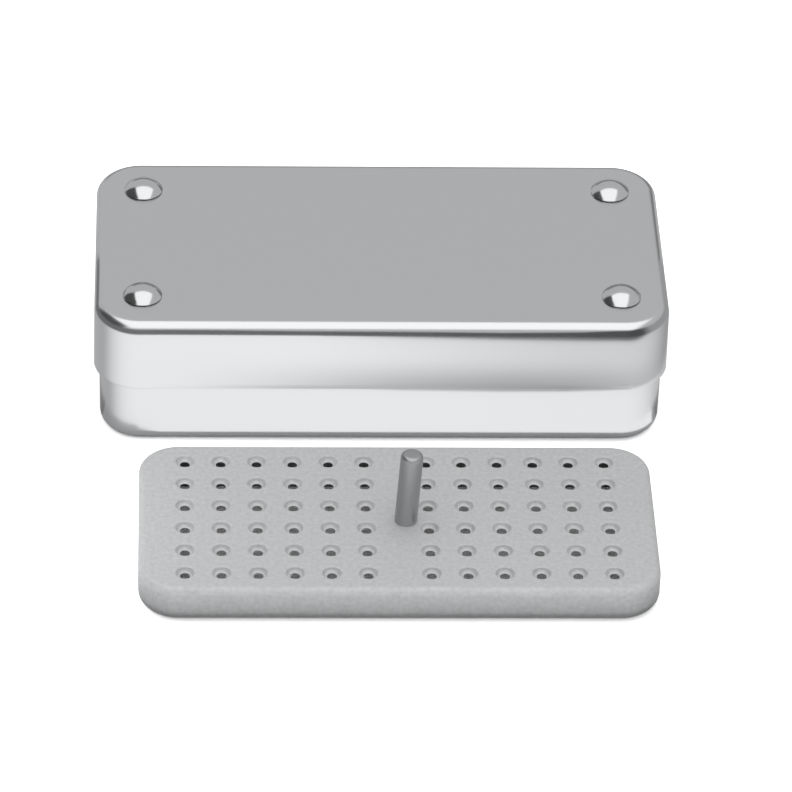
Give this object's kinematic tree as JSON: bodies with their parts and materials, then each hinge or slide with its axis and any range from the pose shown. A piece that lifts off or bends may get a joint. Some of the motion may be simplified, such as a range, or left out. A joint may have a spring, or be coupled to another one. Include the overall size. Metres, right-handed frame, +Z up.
{
  "type": "endodontic box",
  "caption": "Flat steel instrument box with round corners, a lift-off lid with domed feet, and a loose rack of countersunk holes with a lifting pin.",
  "frame": {"origin": "middle of the flat underside of the pan, on the surface that the box stands on", "axes": "+Z up, +X along the length of the box to the right as pictured, +Y to the back of the box; the rack stands in front, towards -Y"},
  "size_m": [0.13, 0.1297, 0.036],
  "materials": {
    "polished_steel": "polished",
    "foot_steel": "bright polished",
    "satin_aluminium": "blasted satin",
    "turned_steel": "turned"
  },
  "bodies": {
    "base": {"base_shell": "polished_steel"},
    "lid": {"lid_shell": "polished_steel", "lid_foot_back_left": "foot_steel", "lid_foot_back_right": "foot_steel", "lid_foot_front_left": "foot_steel", "lid_foot_front_right": "foot_steel"},
    "rack": {"rack_plate": "satin_aluminium", "lifting_pin": "turned_steel", "pin_washer": "turned_steel", "pin_screw": "turned_steel"}
  },
  "joints": [
    {"name": "lid_lift", "type": "slide", "parent": "base", "child": "lid", "axis": [0, 0, 1], "range_m": [0, 0.04]},
    {"name": "rack_lift", "type": "slide", "parent": "base", "child": "rack", "axis": [0, 0, 1], "range_m": [0, 0.06]}
  ]
}
